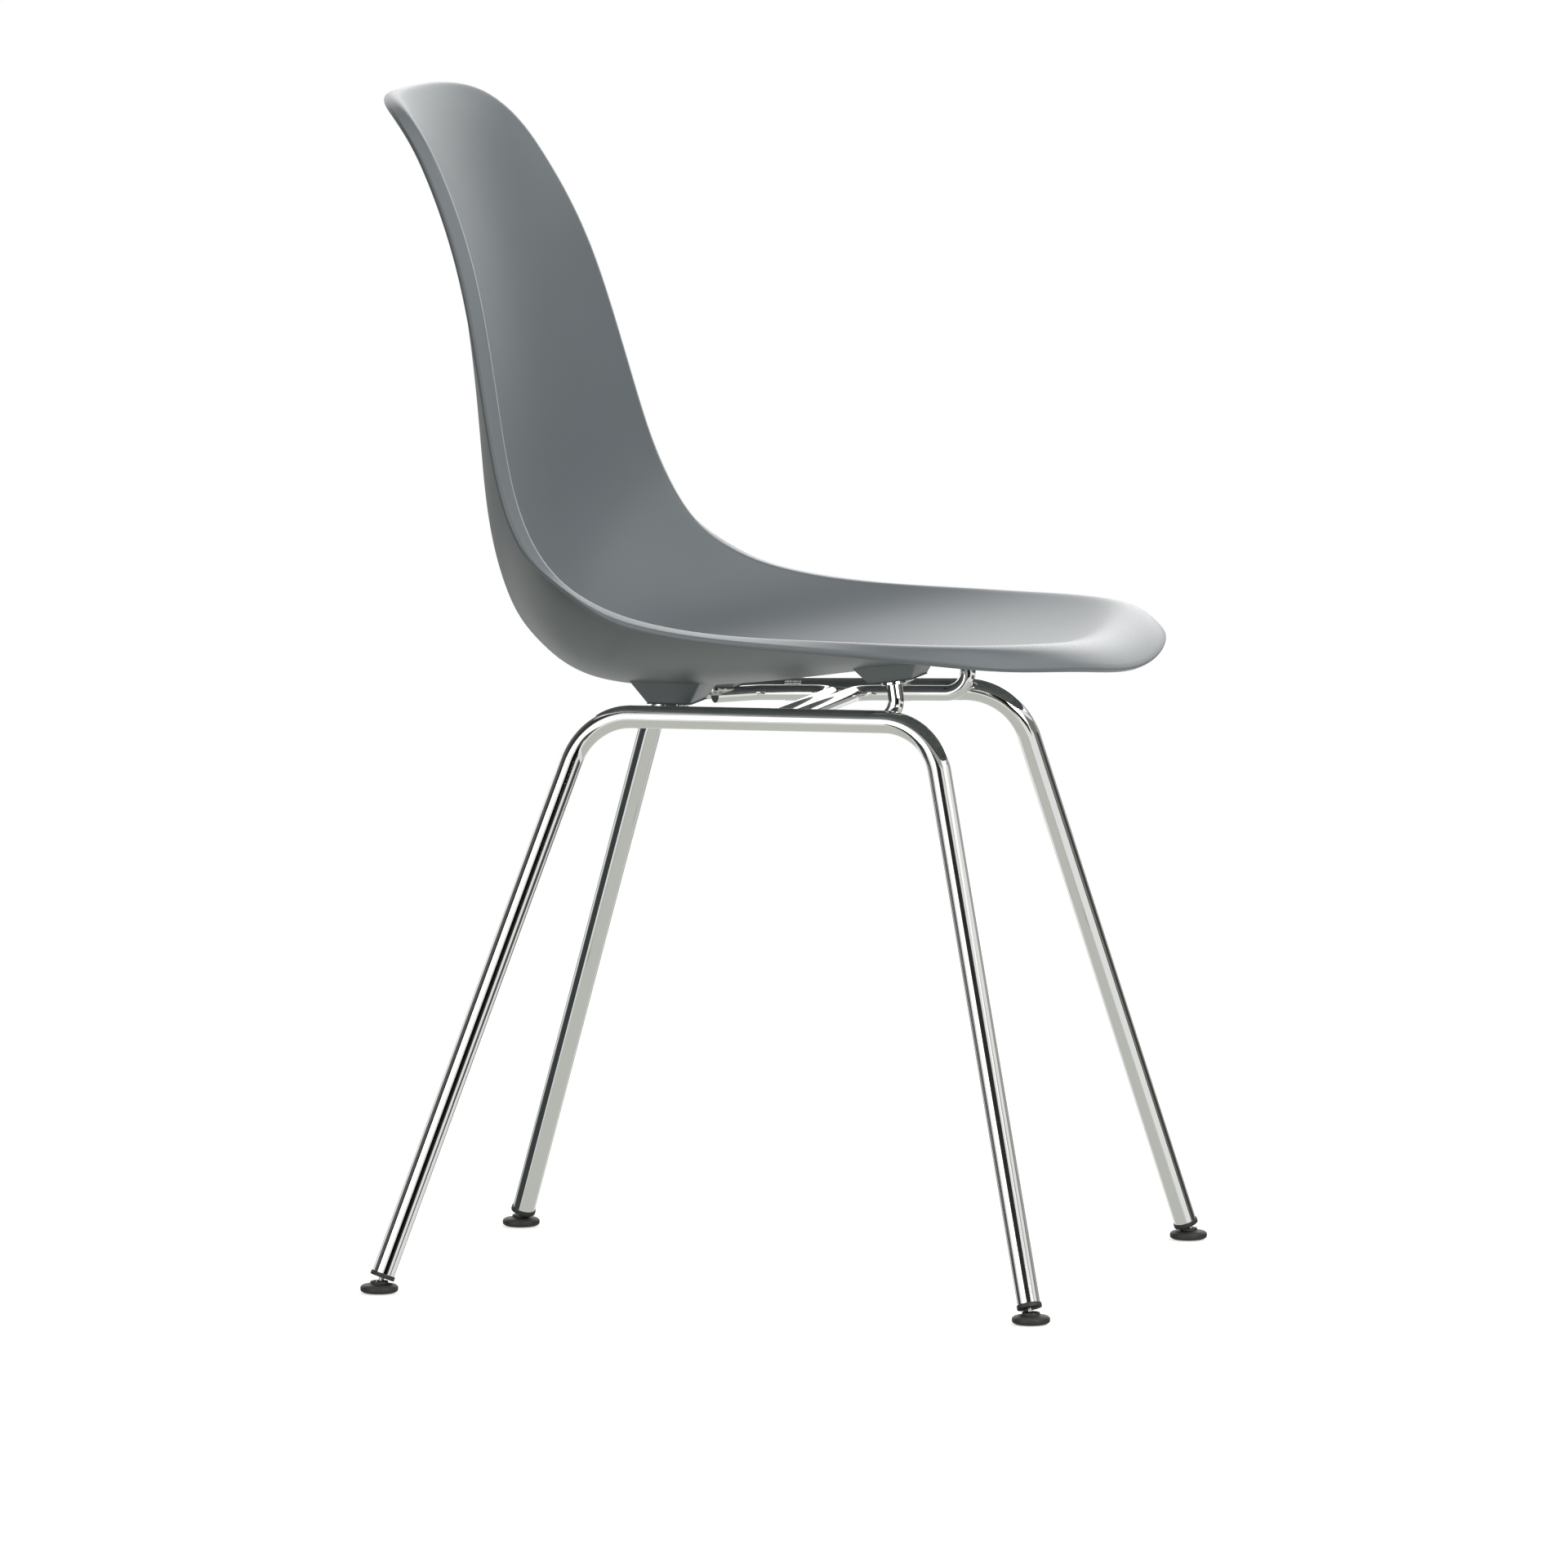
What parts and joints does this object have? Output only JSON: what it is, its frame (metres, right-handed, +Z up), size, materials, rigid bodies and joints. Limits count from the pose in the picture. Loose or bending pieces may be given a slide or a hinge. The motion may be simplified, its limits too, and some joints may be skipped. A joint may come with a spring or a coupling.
{
  "type": "shell chair",
  "caption": "Side chair with a one-piece moulded plastic seat and back on a chromed bent-tube base with swivel glides.",
  "frame": {"origin": "middle of the bounding box, on the floor", "axes": "+Z up, -Y to the front of the seat, -X to the right of someone sitting in it"},
  "size_m": [0.478, 0.5397, 0.8337],
  "materials": {
    "shell_plastic": "satin blue-grey polypropylene with a fine moulded grain",
    "chromed_tube": "bright chrome plate",
    "black_nylon": "matt black moulded nylon",
    "black_rubber": "matt black rubber",
    "brass": "turned brass",
    "plated_steel": "zinc-plated steel"
  },
  "bodies": {
    "chair": {"shell": "shell_plastic", "left_leg_bow": "chromed_tube", "right_leg_bow": "chromed_tube", "front_brace_rod": "chromed_tube", "rear_brace_rod": "chromed_tube", "front_left_weld": "chromed_tube", "front_left_mount_plate": "chromed_tube", "front_left_threaded_insert": "brass", "front_left_shock_mount": "black_rubber", "front_left_mount_screw": "plated_steel", "front_left_glide_plug": "black_nylon", "rear_left_weld": "chromed_tube", "rear_left_mount_plate": "chromed_tube", "rear_left_threaded_insert": "brass", "rear_left_shock_mount": "black_rubber", "rear_left_mount_screw": "plated_steel", "rear_left_glide_plug": "black_nylon", "front_right_weld": "chromed_tube", "front_right_mount_plate": "chromed_tube", "front_right_threaded_insert": "brass", "front_right_shock_mount": "black_rubber", "front_right_mount_screw": "plated_steel", "front_right_glide_plug": "black_nylon", "rear_right_weld": "chromed_tube", "rear_right_mount_plate": "chromed_tube", "rear_right_threaded_insert": "brass", "rear_right_shock_mount": "black_rubber", "rear_right_mount_screw": "plated_steel", "rear_right_glide_plug": "black_nylon"},
    "front_left_stud": {"front_left_ball_stud": "plated_steel"},
    "front_left_glide": {"front_left_glide_foot": "black_nylon"},
    "rear_left_stud": {"rear_left_ball_stud": "plated_steel"},
    "rear_left_glide": {"rear_left_glide_foot": "black_nylon"},
    "front_right_stud": {"front_right_ball_stud": "plated_steel"},
    "front_right_glide": {"front_right_glide_foot": "black_nylon"},
    "rear_right_stud": {"rear_right_ball_stud": "plated_steel"},
    "rear_right_glide": {"rear_right_glide_foot": "black_nylon"}
  },
  "joints": [
    {"name": "front_left_stud_spin", "type": "hinge", "parent": "chair", "child": "front_left_stud", "pos_m": [0.2257, -0.2459, 0.0055], "axis": [-0.2602, 0.2331, 0.937], "continuous": true},
    {"name": "front_left_glide_tilt", "type": "hinge", "parent": "front_left_stud", "child": "front_left_glide", "pos_m": [0.2257, -0.2459, 0.0055], "axis": [-0.6674, -0.7447, 0], "range_deg": [-4.6, 45.4]},
    {"name": "rear_left_stud_spin", "type": "hinge", "parent": "chair", "child": "rear_left_stud", "pos_m": [0.1807, 0.2371, 0.0055], "axis": [-0.2011, -0.3049, 0.9309], "continuous": true},
    {"name": "rear_left_glide_tilt", "type": "hinge", "parent": "rear_left_stud", "child": "rear_left_glide", "pos_m": [0.1807, 0.2371, 0.0055], "axis": [0.8348, -0.5505, 0], "range_deg": [-3.6, 46.4]},
    {"name": "front_right_stud_spin", "type": "hinge", "parent": "chair", "child": "front_right_stud", "pos_m": [-0.2257, -0.2459, 0.0055], "axis": [0.2602, 0.2331, 0.937], "continuous": true},
    {"name": "front_right_glide_tilt", "type": "hinge", "parent": "front_right_stud", "child": "front_right_glide", "pos_m": [-0.2257, -0.2459, 0.0055], "axis": [-0.6674, 0.7447, 0], "range_deg": [-4.6, 45.4]},
    {"name": "rear_right_stud_spin", "type": "hinge", "parent": "chair", "child": "rear_right_stud", "pos_m": [-0.1807, 0.2371, 0.0055], "axis": [0.2011, -0.3049, 0.9309], "continuous": true},
    {"name": "rear_right_glide_tilt", "type": "hinge", "parent": "rear_right_stud", "child": "rear_right_glide", "pos_m": [-0.1807, 0.2371, 0.0055], "axis": [0.8348, 0.5505, 0], "range_deg": [-3.6, 46.4]}
  ]
}
